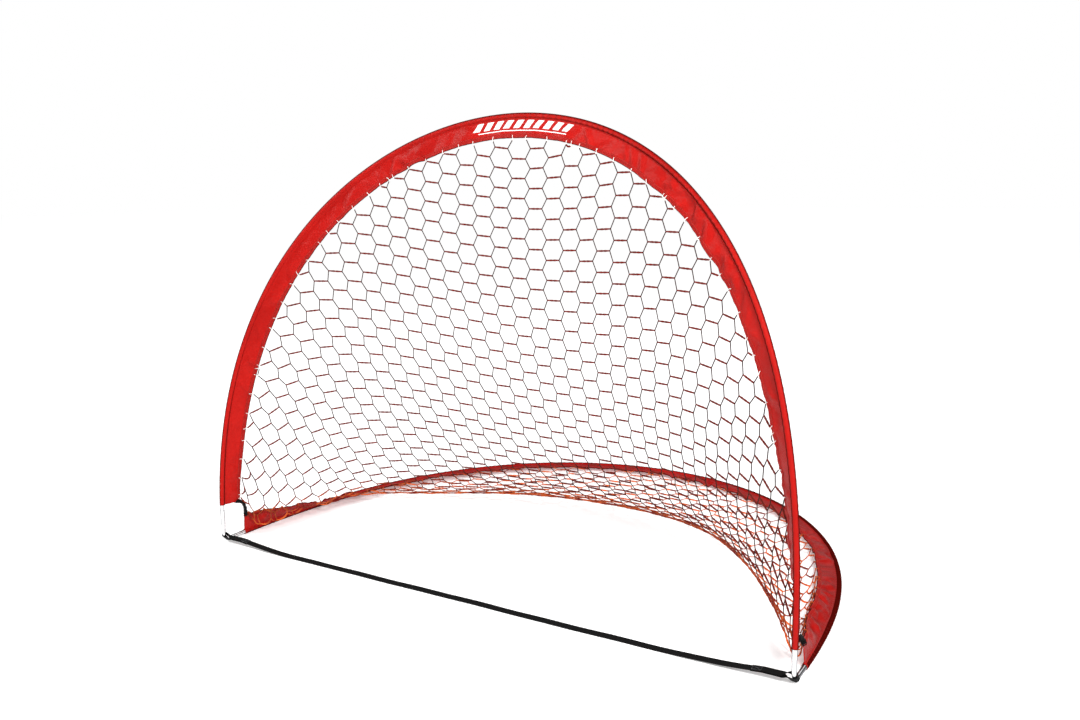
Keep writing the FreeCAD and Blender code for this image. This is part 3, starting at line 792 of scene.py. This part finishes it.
def webbing(name, centre, across, lift, width, thickness, material):
    """Webbing whose section follows a path with given across and lift directions."""
    outline = band_outline(width, thickness)
    rings = (centre[:, None] + across[:, None] * outline[None, :, :1]
             + lift[:, None] * outline[None, :, 1:])
    run = np.concatenate([[0], np.cumsum(np.linalg.norm(np.diff(centre, axis=0), axis=1))])
    uvs = np.stack(np.broadcast_arrays(run[:, None], outline[None, :, 0]), -1).reshape(-1, 2)
    return new_object(name, rings, skin_faces(1, len(centre), len(outline)), material, uvs)


def ground_strap(material):
    x, height, y = strap_track()
    draw = np.random.default_rng(41)
    sway = sum(draw.uniform(0.0002, 0.0007) * np.sin(x * draw.uniform(4, 14) + draw.uniform(0, 6))
               for _ in range(5))
    centre = np.stack([x, y + sway, height + 0.0004 * (1 + np.sin(x * 31))], 1)
    across, lift = strap_turn(x)
    return webbing("ground_strap_webbing", centre, across, lift, STRAP_WIDTH, STRAP_THICKNESS,
                   material)


def strap_end(side, material, thread):
    """Webbing that runs round an elbow's bend and back to its sewn box on the strap."""
    x, height, y = strap_track()
    seam_x = HALF_WIDTH - LOOP_LENGTH
    origin = np.array([0.0, y, height[-1]])
    layer = 0.0010
    radius = ELBOW_RADIUS + LOOP_SLACK + layer / 2
    turn = np.linspace(math.pi / 2, -math.pi / 2, 15)
    out_x = np.linspace(seam_x - SEAM_BOX, HALF_WIDTH, 34)[:-1]
    open_up = smooth_step((out_x - HALF_WIDTH + LOOP_OPEN) / LOOP_OPEN)
    seat = STRAP_THICKNESS / 2 + layer / 2 + 0.0002
    high = seat + (radius + LOOP_LIFT - seat) * open_up
    low = -seat + (-radius + LOOP_LIFT + seat) * open_up
    path_x = np.concatenate([out_x, HALF_WIDTH + radius * np.cos(turn), out_x[::-1]])
    path_lift = np.concatenate([high, LOOP_LIFT + radius * np.sin(turn), low[::-1]])
    rise = np.interp(path_x, x, height) - height[-1]
    centre = origin + np.stack([path_x * side, 0 * path_x, 0 * path_x], 1)
    centre[:, 2] += rise
    across, lift = strap_turn(path_x)
    centre += lift * path_lift[:, None]
    tangent = unit(np.gradient(centre, axis=0))
    normal = np.cross(tangent, across)
    loop = webbing("strap_loop_webbing_" + SIDE_NAMES[side], centre, across, normal,
                   STRAP_WIDTH, layer, material)
    half, box = STRAP_WIDTH / 2 - 0.0025, SEAM_BOX - 0.005
    corners = [(0, -half), (box, -half), (box, half), (0, half)]
    lines = list(zip(corners, corners[1:] + corners[:1])) + [(corners[0], corners[2]),
                                                             (corners[1], corners[3])]
    paths = []
    for face in (1, -1):
        for (x0, c0), (x1, c1) in lines:
            count = max(2, int(math.hypot(x1 - x0, c1 - c0) / 0.003))
            for step in range(count):
                t = (step + np.linspace(0.12, 0.88, 4)) / count
                px = seam_x - SEAM_BOX + 0.0025 + x0 + (x1 - x0) * t
                pc = c0 + (c1 - c0) * t
                off = face * (seat + layer / 2 + 0.0002 * np.sin(np.linspace(0, math.pi, 4)))
                point = origin + np.stack([px * side, 0 * px, np.interp(px, x, height) - height[-1]], 1)
                across, lift = strap_turn(px)
                paths.append(point + across * pc[:, None] + lift * off[:, None])
    seam = tube_object("strap_seam_" + SIDE_NAMES[side], np.array(paths), 0.00035, 5, thread)
    return loop, seam


def lathe(name, foot, axis, profile, material, sides=48):
    """Turned piece from (distance along the axis, radius) pairs."""
    angle = np.arange(sides) * 2 * math.pi / sides
    axis = np.array(axis, float)
    side = np.array([1.0, 0.0, 0.0])
    other = np.cross(axis, side)
    along, radius = np.array(profile).T
    ring = side * np.cos(angle)[:, None] + other * np.sin(angle)[:, None]
    rings = np.array(foot) + axis * along[:, None, None] + ring[None] * radius[:, None, None]
    return new_object(name, rings, skin_faces(1, len(profile), sides), material)


def collar(side, material):
    """Top of the front ferrule inside the sleeve's end, where the hoop flexes."""
    foot = (side * HALF_WIDTH, 0.0, 0.0)
    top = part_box("front_ferrule_right")[1].z
    radius = 0.0063
    profile = [(top - 0.0002, radius - 0.0012), (top - 0.0001, radius - 0.0002),
               (top + 0.0004, radius - 0.0005), (top + 0.0008, radius - 0.0003),
               (FOLD.z + 0.003, radius - 0.0003), (FOLD.z + 0.0045, radius - 0.0008),
               (FOLD.z + 0.0050, radius - 0.0020)]
    return lathe("front_collar_" + SIDE_NAMES[side], foot, (0, 0, 1), profile, material)


def crown_motif(material):
    """Plain slanted bars over a line on the crown's front, as thin printed film."""
    middle = FRONT.total / 2 - MOTIF_ASIDE
    cells = [(i * 0.033, 0.020, 0.012, 0.034) for i in np.arange(-4.5, 5)]
    verts, faces = [], []

    def patch(start, end, low, high, slant):
        along = np.linspace(start, end, 2 + int((end - start) / 0.002))
        rows = np.linspace(low, high, 9)
        base = sum(len(v) for v in verts)
        grid = np.empty((len(along), len(rows), 3))
        for j, reach in enumerate(rows):
            where = middle + along + slant * (reach - (low + high) / 2)
            line = place_on(FRONT, FRONT_CREASES, where, [reach], MOTIF_LIFT)
            grid[:, j] = line[:, 0]
        verts.append(grid.reshape(-1, 3))
        index = base + np.arange(grid.shape[0] * grid.shape[1]).reshape(grid.shape[:2])
        quads = np.stack([index[:-1, :-1], index[1:, :-1], index[1:, 1:], index[:-1, 1:]], -1)
        faces.extend(quads.reshape(-1, 4).tolist())

    for offset, width, low, high in cells:
        patch(offset - width / 2, offset + width / 2, low, high, 0.7)
    patch(-0.150, 0.150, 0.0390, 0.0415, 0.0)
    film = new_object("crown_motif", np.concatenate(verts), faces, material)
    thick = film.modifiers.new("thickness", "SOLIDIFY")
    thick.thickness = 0.0002
    return film


# ---- materials -----------------------------------------------------------------------------------
WAVE_UNIT = 2 * math.pi / 20         # a wave texture's period at a scale of 1
WORLD_LIGHT, FLOOR_GLOW = 0.27, 0.30


class Shader:
    """A node material round one Principled shader, with short calls for common nodes."""

    def __init__(self, name):
        self.material = bpy.data.materials.new(name)
        self.material.use_nodes = True
        self.nodes = self.material.node_tree.nodes
        self.links = self.material.node_tree.links
        self.surface = self.nodes["Principled BSDF"]

    def node(self, kind, inputs=None, **settings):
        made = self.nodes.new(kind)
        for key, value in settings.items():
            setattr(made, key, value)
        for key, value in (inputs or {}).items():
            self.join(value, made.inputs[key])
        return made

    def join(self, value, socket):
        if isinstance(value, bpy.types.NodeSocket):
            self.links.new(value, socket)
        else:
            socket.default_value = value

    def set(self, **inputs):
        for key, value in inputs.items():
            self.join(value, self.surface.inputs[key.replace("_", " ")])
        return self

    def place(self, stretch=(1, 1, 1)):
        found = self.node("ShaderNodeTexCoord").outputs["Object"]
        return self.node("ShaderNodeMapping", {"Vector": found, "Scale": stretch}).outputs[0]

    def cloth_place(self):
        return self.node("ShaderNodeUVMap", uv_map="cloth").outputs[0]

    def noise(self, place, scale, detail=3.0, rough=0.55):
        inputs = {"Vector": place, "Scale": scale, "Detail": detail, "Roughness": rough}
        return self.node("ShaderNodeTexNoise", inputs).outputs[0]

    def bands(self, place, scale, direction):
        settings = {"wave_type": "BANDS", "bands_direction": direction, "wave_profile": "SIN"}
        inputs = {"Vector": place, "Scale": scale}
        return self.node("ShaderNodeTexWave", inputs, **settings).outputs["Fac"]

    def math(self, operation, first, second):
        made = self.node("ShaderNodeMath", operation=operation)
        self.join(first, made.inputs[0])
        self.join(second, made.inputs[1])
        return made.outputs[0]

    def ramp(self, factor, *stops):
        made = self.node("ShaderNodeValToRGB", {"Fac": factor})
        elements = made.color_ramp.elements
        while len(elements) < len(stops):
            elements.new(0.5)
        for element, (place, colour) in zip(elements, stops):
            element.position = place
            element.color = (*colour, 1)
        return made.outputs["Color"]

    def span(self, factor, low, high):
        inputs = {"Value": factor, "To Min": low, "To Max": high}
        return self.node("ShaderNodeMapRange", inputs).outputs[0]

    def mix(self, factor, first, second, blend="MIX"):
        made = self.node("ShaderNodeMix", data_type="RGBA", blend_type=blend)
        factor_socket, first_socket, second_socket = (made.inputs[i] for i in (0, 6, 7))
        self.join(factor, factor_socket)
        self.join(first, first_socket)
        self.join(second, second_socket)
        return made.outputs[2]

    def bump(self, *layers):
        """Bump from (height, distance) layers, one over another."""
        normal = None
        for height, distance in layers:
            inputs = {"Height": height, "Distance": distance, "Strength": 1.0}
            if normal is not None:
                inputs["Normal"] = normal
            normal = self.node("ShaderNodeBump", inputs).outputs[0]
        self.join(normal, self.surface.inputs["Normal"])
        return self


def woven(shader, pitch):
    """Height of a plain weave at this thread pitch."""
    warp = shader.bands(shader.cloth_place(), WAVE_UNIT / pitch, "X")
    weft = shader.bands(shader.cloth_place(), WAVE_UNIT / pitch, "Y")
    return shader.math("MULTIPLY", warp, weft)


def channel_edge(shader):
    """1 where the cloth round the rod channel turns away from the eye, 0 elsewhere; it places the
    painted shade on the channel's limb.
    """
    across = shader.node("ShaderNodeSeparateXYZ", {0: shader.cloth_place()}).outputs["Y"]
    aside = shader.math("ABSOLUTE", shader.math("SUBTRACT", across, CHANNEL_MIDDLE), 0.0)
    on_channel = shader.math("LESS_THAN", aside, 2.6 * CHANNEL_RADIUS)
    facing = shader.node("ShaderNodeLayerWeight", {"Blend": 0.5}).outputs["Facing"]
    limb = shader.node("ShaderNodeMapRange", {"Value": facing, "From Min": 0.15, "From Max": 0.50})
    return shader.math("MULTIPLY", on_channel, limb.outputs[0])


def sleeve_cloth():
    shader = Shader("sleeve_cloth")
    weave = woven(shader, 0.0009)
    patches = shader.noise(shader.place(), 6.0, 4.0)
    crush = shader.noise(shader.place((1, 1, 0.7)), 24.0, 3.0, 0.5)
    colour = shader.ramp(patches, (0.3, SLEEVE_DARK), (0.7, SLEEVE_RED))
    colour = shader.mix(shader.span(weave, 0.0, 0.22), colour, (*SLEEVE_LIGHT, 1))
    rough = shader.span(crush, 0.34, 0.50)
    # painted shade: the cloth is mixed towards a darker red where it turns away from the eye
    facing = shader.node("ShaderNodeLayerWeight", {"Blend": 0.4}).outputs["Facing"]
    colour = shader.mix(shader.span(facing, 0.0, 0.8), colour, (*SLEEVE_PAINTED_SHADE, 1))
    # painted shade: the rod channel's limb is coloured dark red and loses its specular there
    edge = channel_edge(shader)
    colour = shader.mix(edge, colour, (*SHADE_RIM_RED, 1))
    shader.set(Base_Color=colour, Roughness=rough, Specular_IOR_Level=shader.span(edge, 0.18, 0.0),
               Specular_Tint=(1.0, 0.45, 0.4, 1))
    return shader.bump((crush, 0.0016), (weave, 0.00012)).material


def hem_tape_cloth():
    shader = Shader("hem_tape")
    ribs = shader.bands(shader.cloth_place(), WAVE_UNIT / 0.0011, "X")
    wear = shader.noise(shader.place(), 90.0, 4.0)
    colour = shader.ramp(wear, (0.25, TAPE_DARK), (0.75, TAPE_RED))
    colour = shader.mix(shader.span(ribs, 0.0, 0.3), colour, (*SLEEVE_RED, 1))
    shader.set(Base_Color=colour, Roughness=shader.span(wear, 0.5, 0.72), Specular_IOR_Level=0.25,
               Specular_Tint=(1.0, 0.5, 0.45, 1))
    return shader.bump((wear, 0.0006), (ribs, 0.0002)).material


def thread(name, light, dark, fuzz=0.35, gloss=0.3):
    """Spun thread: mottled colour, fine twist and a soft sheen."""
    shader = Shader(name)
    mottle = shader.noise(shader.place(), 260.0, 3.0)
    colour = shader.ramp(mottle, (0.3, dark), (0.7, light))
    shader.set(Base_Color=colour, Roughness=0.7, Sheen_Weight=fuzz, Specular_IOR_Level=gloss)
    return shader.bump((shader.noise(shader.place(), 1500.0, 2.0), 0.0003)).material


def net_thread(name, brown, dark):
    """Red-brown thread, with painted light: brighter orange where it lies near the ground."""
    shader = Shader(name)
    mottle = shader.noise(shader.place(), 120.0, 4.0, 0.65)
    patches = shader.noise(shader.place(), 22.0, 2.0)
    high = shader.ramp(mottle, (0.28, dark), (0.72, brown))
    # painted light: near the ground the strands are mixed in a brighter orange
    low = shader.ramp(patches, (0.42, NET_BROWN), (0.56, NET_LIT_ORANGE))
    height = shader.node("ShaderNodeSeparateXYZ", {0: shader.place()}).outputs["Z"]
    fade = shader.node("ShaderNodeMapRange", {"Value": height, "From Min": 0.01, "From Max": 0.13})
    colour = shader.mix(fade.outputs[0], low, high)
    shader.set(Base_Color=colour, Roughness=0.7, Specular_IOR_Level=0.12)
    return shader.bump((shader.noise(shader.place(), 1400.0, 2.0), 0.0004)).material


def black_webbing():
    shader = Shader("black_webbing")
    ribs = shader.bands(shader.cloth_place(), WAVE_UNIT / 0.0016, "X")
    cords = shader.bands(shader.cloth_place(), WAVE_UNIT / 0.0021, "Y")
    fray = shader.noise(shader.place(), 300.0, 4.0)
    weave = shader.math("MULTIPLY", shader.math("ADD", ribs, 0.3), shader.math("ADD", cords, 0.4))
    colour = shader.ramp(fray, (0.3, (0.002, 0.002, 0.002)), (0.75, (0.006, 0.006, 0.006)))
    colour = shader.mix(shader.span(weave, 0.0, 0.35), colour, (0.012, 0.012, 0.012, 1))
    shader.set(Base_Color=colour, Roughness=shader.span(fray, 0.6, 0.8), Specular_IOR_Level=0.08)
    return shader.bump((weave, 0.0005), (fray, 0.0003)).material


def black_cord():
    shader = Shader("black_cord")
    inputs = {"Vector": shader.place(), "Scale": 420.0}
    plaits = shader.node("ShaderNodeTexVoronoi", inputs).outputs["Distance"]
    colour = shader.ramp(plaits, (0.1, (0.010, 0.010, 0.010)), (0.8, (0.002, 0.002, 0.002)))
    shader.set(Base_Color=colour, Roughness=0.65, Specular_IOR_Level=0.1)
    return shader.bump((plaits, 0.0008)).material


def plated_steel(name, tone, rough_low, rough_high, turned):
    """Bright plate with faint drawing marks, smudges and small pits, and a painted dark reflection
    towards its outline.
    """
    shader = Shader(name)
    marks = shader.noise(shader.place((1, 1, 0.05) if not turned else (1, 1, 30)), 500.0, 2.0)
    smudge = shader.noise(shader.place(), 70.0, 5.0, 0.65)
    pits = shader.noise(shader.place(), 900.0, 2.0)
    colour = shader.ramp(smudge, (0.3, tuple(0.82 * c for c in tone)), (0.62, tone))
    # painted reflection: the plate's colour goes dark grey where its surface turns away from the eye
    facing = shader.node("ShaderNodeLayerWeight", {"Blend": 0.5}).outputs["Facing"]
    colour = shader.mix(shader.ramp(facing, (0.25, (0, 0, 0)), (0.62, (1, 1, 1))), colour,
                        (0.10, 0.10, 0.11, 1))
    shader.set(Base_Color=colour, Metallic=1.0, Roughness=shader.span(smudge, rough_low, rough_high))
    return shader.bump((marks, 0.00002), (pits, 0.00002)).material


def glass_fibre():
    shader = Shader("glass_fibre")
    streaks = shader.noise(shader.place((1, 1, 0.04)), 900.0, 3.0)
    colour = shader.ramp(streaks, (0.35, (0.020, 0.020, 0.021)), (0.7, (0.085, 0.083, 0.078)))
    shader.set(Base_Color=colour, Roughness=shader.span(streaks, 0.22, 0.4), Coat_Weight=0.3)
    return shader.bump((streaks, 0.00005)).material


def printed_film():
    shader = Shader("printed_film")
    cracks = shader.noise(shader.place(), 160.0, 5.0, 0.7)
    colour = shader.ramp(cracks, (0.30, (0.86, 0.62, 0.58)), (0.46, (0.93, 0.90, 0.88)))
    shader.set(Base_Color=colour, Roughness=shader.span(cracks, 0.32, 0.5))
    return shader.bump((cracks, 0.0003)).material


def studio_floor():
    """White floor that glows more and more far out, so that it meets the white world unseen."""
    shader = Shader("studio_floor")
    grain = shader.noise(shader.place(), 3.0, 5.0)
    far = shader.node("ShaderNodeVectorMath", {0: shader.place()}, operation="LENGTH").outputs["Value"]
    glow = shader.node("ShaderNodeMapRange", {"Value": far, "From Min": 1.5, "From Max": 5.0,
                                              "To Min": FLOOR_GLOW, "To Max": 1 - 0.9 * WORLD_LIGHT})
    shader.set(Base_Color=shader.ramp(grain, (0.3, (0.90, 0.90, 0.90)), (0.7, (0.915, 0.915, 0.915))),
               Roughness=0.85, Specular_IOR_Level=0.1, Emission_Color=(1, 1, 1, 1),
               Emission_Strength=glow.outputs[0])
    return shader.material


SLEEVE_RED, SLEEVE_DARK, SLEEVE_LIGHT = (0.47, 0.007, 0.005), (0.34, 0.004, 0.003), (0.55, 0.018, 0.012)
# darker red for the painted shade of the sleeves at grazing view
SLEEVE_PAINTED_SHADE = (0.20, 0.003, 0.002)
CHANNEL_MIDDLE = sleeve_outline()[2][-1] / 2
TAPE_RED, TAPE_DARK = (0.36, 0.006, 0.005), (0.24, 0.004, 0.003)
# painted shade colours: the rod channel's limb and the dark rim of the inner hem
SHADE_RIM_RED, SHADE_RIM_DARK = (0.075, 0.003, 0.002), (0.035, 0.002, 0.002)
NET_BROWN, NET_DARK = (0.20, 0.014, 0.007), (0.08, 0.008, 0.005)
LEG_BROWN, LEG_DARK = (0.040, 0.012, 0.008), (0.018, 0.007, 0.005)
# brighter orange painted on the net and rear ties where they lie lit on the ground
NET_LIT_ORANGE = (0.72, 0.13, 0.025)


# ---- putting the goal together -------------------------------------------------------------------
def dress(nodes, material):
    for node in nodes:
        data = frame["nodes"][node].data
        data.materials.clear()
        data.materials.append(material)


def build_sleeves():
    cloth, tape = sleeve_cloth(), hem_tape_cloth()
    seam = thread("stitch_thread", (0.62, 0.07, 0.05), (0.42, 0.03, 0.02), 0.0)
    # painted shade: the dark red hem rim stands in for the shade at the folded hem edge
    edge = thread("hem_rim_painted_shade", SHADE_RIM_RED, SHADE_RIM_DARK, 0.0, 0.05)
    rows = [(HEM - 0.0092, 0.0020), (HEM - 0.0016, 0.0024),
            (HEM - 0.0092, -0.0020), (HEM - 0.0016, -0.0024)]
    for word, hoop, creases in (("front", FRONT, FRONT_CREASES), ("rear", REAR, REAR_CREASES)):
        body = sleeve(word + "_sleeve_cloth", hoop, creases, cloth)
        binding = hem_tape(word + "_hem_tape", hoop, creases, tape)
        stitches = stitch_rows(word + "_hem_stitches", hoop, creases, rows, seam)
        rim = hem_rim(word + "_hem_rim", hoop, creases, edge)
        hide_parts(word + "_sleeve")
        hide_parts(word + "_hem_binding")
        for obj, slot in ((body, "sleeve_cloth"), (binding, "hem_tape"), (stitches, "tie_thread"),
                          (rim, "hem_tape")):
            if word == "front":
                bend_with_hoop(obj)
            else:
                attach(obj, "base")
    film = crown_motif(printed_film())
    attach(film, "front_hoop")


def build_net():
    net = HungNet(CutNet())
    steps = HANG_STEPS
    net.hang(steps, HANG_SWEEPS)
    net.share = net.turn_shares()
    pieces = net_pieces(net, net_thread("net_joint_thread", NET_BROWN, NET_DARK),
                        net_thread("net_leg_thread", LEG_BROWN, LEG_DARK))
    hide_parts("net_hanging")
    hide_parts("net_ground")
    pale = thread("front_tie_thread", (0.95, 0.93, 0.90), (0.86, 0.76, 0.72))
    # painted light: the rear ties lie on the ground and take the same brighter orange as the net there
    brown = thread("rear_tie_thread", NET_LIT_ORANGE, NET_BROWN, 0.0, 0.1)
    for word, at_head, hoop, creases, twine in (("front", True, FRONT, FRONT_CREASES, pale),
                                                ("rear", False, REAR, REAR_CREASES, brown)):
        loops, knots = tie_loops(word + "_tie", net, at_head, hoop, creases, twine)
        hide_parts(word + "_net_ties")
        for obj in (loops, knots):
            if at_head:
                bend_with_hoop(obj)
            else:
                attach(obj, "base")


def build_corners():
    cord, webs = black_cord(), black_webbing()
    seam_thread = thread("seam_thread", (0.10, 0.10, 0.11), (0.04, 0.04, 0.045))
    bright = plated_steel("bright_steel", (0.93, 0.93, 0.94), 0.05, 0.16, False)
    turned = plated_steel("ferrule_steel", (0.88, 0.88, 0.89), 0.10, 0.24, True)
    strap = ground_strap(webs)
    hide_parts("ground_strap")
    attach(strap, "base")
    for side, word in SIDE_NAMES.items():
        loop, seam = strap_end(side, webs, seam_thread)
        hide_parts("strap_loop_" + word)
        for obj in (loop, seam):
            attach(obj, "base")
        main, whipping = corner_cord("corner_cord_" + word, side, cord)
        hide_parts("corner_tie_" + word)
        for obj in (main, whipping):
            bend_between(obj, main.data.vertices[-1].co.copy(), main.data.vertices[0].co.copy())
        top = collar(side, turned)
        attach(top, "base")
    dress(["elbow_left", "elbow_right"], bright)
    dress([n for n in frame["nodes"] if "ferrule" in n], turned)
    dress([n for n in frame["nodes"] if "rod" in n], glass_fibre())


# ---- stage ---------------------------------------------------------------------------------------

def build_stage():
    size = 30.0
    corners = [(-size, -size, 0), (size, -size, 0), (size, size, 0), (-size, size, 0)]
    floor = new_object("studio_floor", corners, [(0, 1, 2, 3)], studio_floor(), smooth=False)
    world = bpy.data.worlds.new("studio")
    bpy.context.scene.world = world
    world.use_nodes = True
    nodes, links = world.node_tree.nodes, world.node_tree.links
    seen = nodes.new("ShaderNodeLightPath").outputs["Is Camera Ray"]
    strength = nodes.new("ShaderNodeMapRange")
    strength.inputs["To Min"].default_value = WORLD_LIGHT
    strength.inputs["To Max"].default_value = 1.0
    links.new(seen, strength.inputs["Value"])
    links.new(strength.outputs[0], nodes["Background"].inputs["Strength"])
    nodes["Background"].inputs["Color"].default_value = (1.0, 1.0, 1.0, 1)
    lamps = (("key", (3.0, -2.6, 3.6), 1.4, 280), ("fill", (-3.0, -1.2, 2.6), 1.2, 90),
             ("back", (0.5, 4.0, 3.6), 3.0, 60))
    for name, place, width, power in lamps:
        light = bpy.data.lights.new(name, "AREA")
        light.size = width
        light.energy = power
        obj = bpy.data.objects.new(name, light)
        obj.location = place
        aim = Vector((0, 0.5, 0.4)) - obj.location
        obj.rotation_euler = aim.to_track_quat("-Z", "Y").to_euler()
        bpy.context.scene.collection.objects.link(obj)


def build_camera():
    azimuth, elevation, roll = (math.radians(a) for a in (31.29, 10.42, -0.75))
    ahead = Vector((-math.sin(azimuth) * math.cos(elevation),
                    math.cos(azimuth) * math.cos(elevation), -math.sin(elevation)))
    level = Vector((math.cos(azimuth), math.sin(azimuth), 0))
    above = level.cross(ahead)
    right = level * math.cos(roll) + above * math.sin(roll)
    up = above * math.cos(roll) - level * math.sin(roll)
    camera = bpy.data.cameras.new("camera")
    camera.sensor_width = 36.0
    camera.lens = 33.33
    obj = bpy.data.objects.new("camera", camera)
    turn = Matrix((right, up, -ahead)).transposed().to_4x4()
    obj.matrix_world = Matrix.Translation((1.497, -2.034, 1.117)) @ turn
    bpy.context.scene.collection.objects.link(obj)
    bpy.context.scene.camera = obj
    bpy.context.scene.view_settings.view_transform = "Standard"


build_sleeves()
build_net()
build_corners()
build_stage()
build_camera()
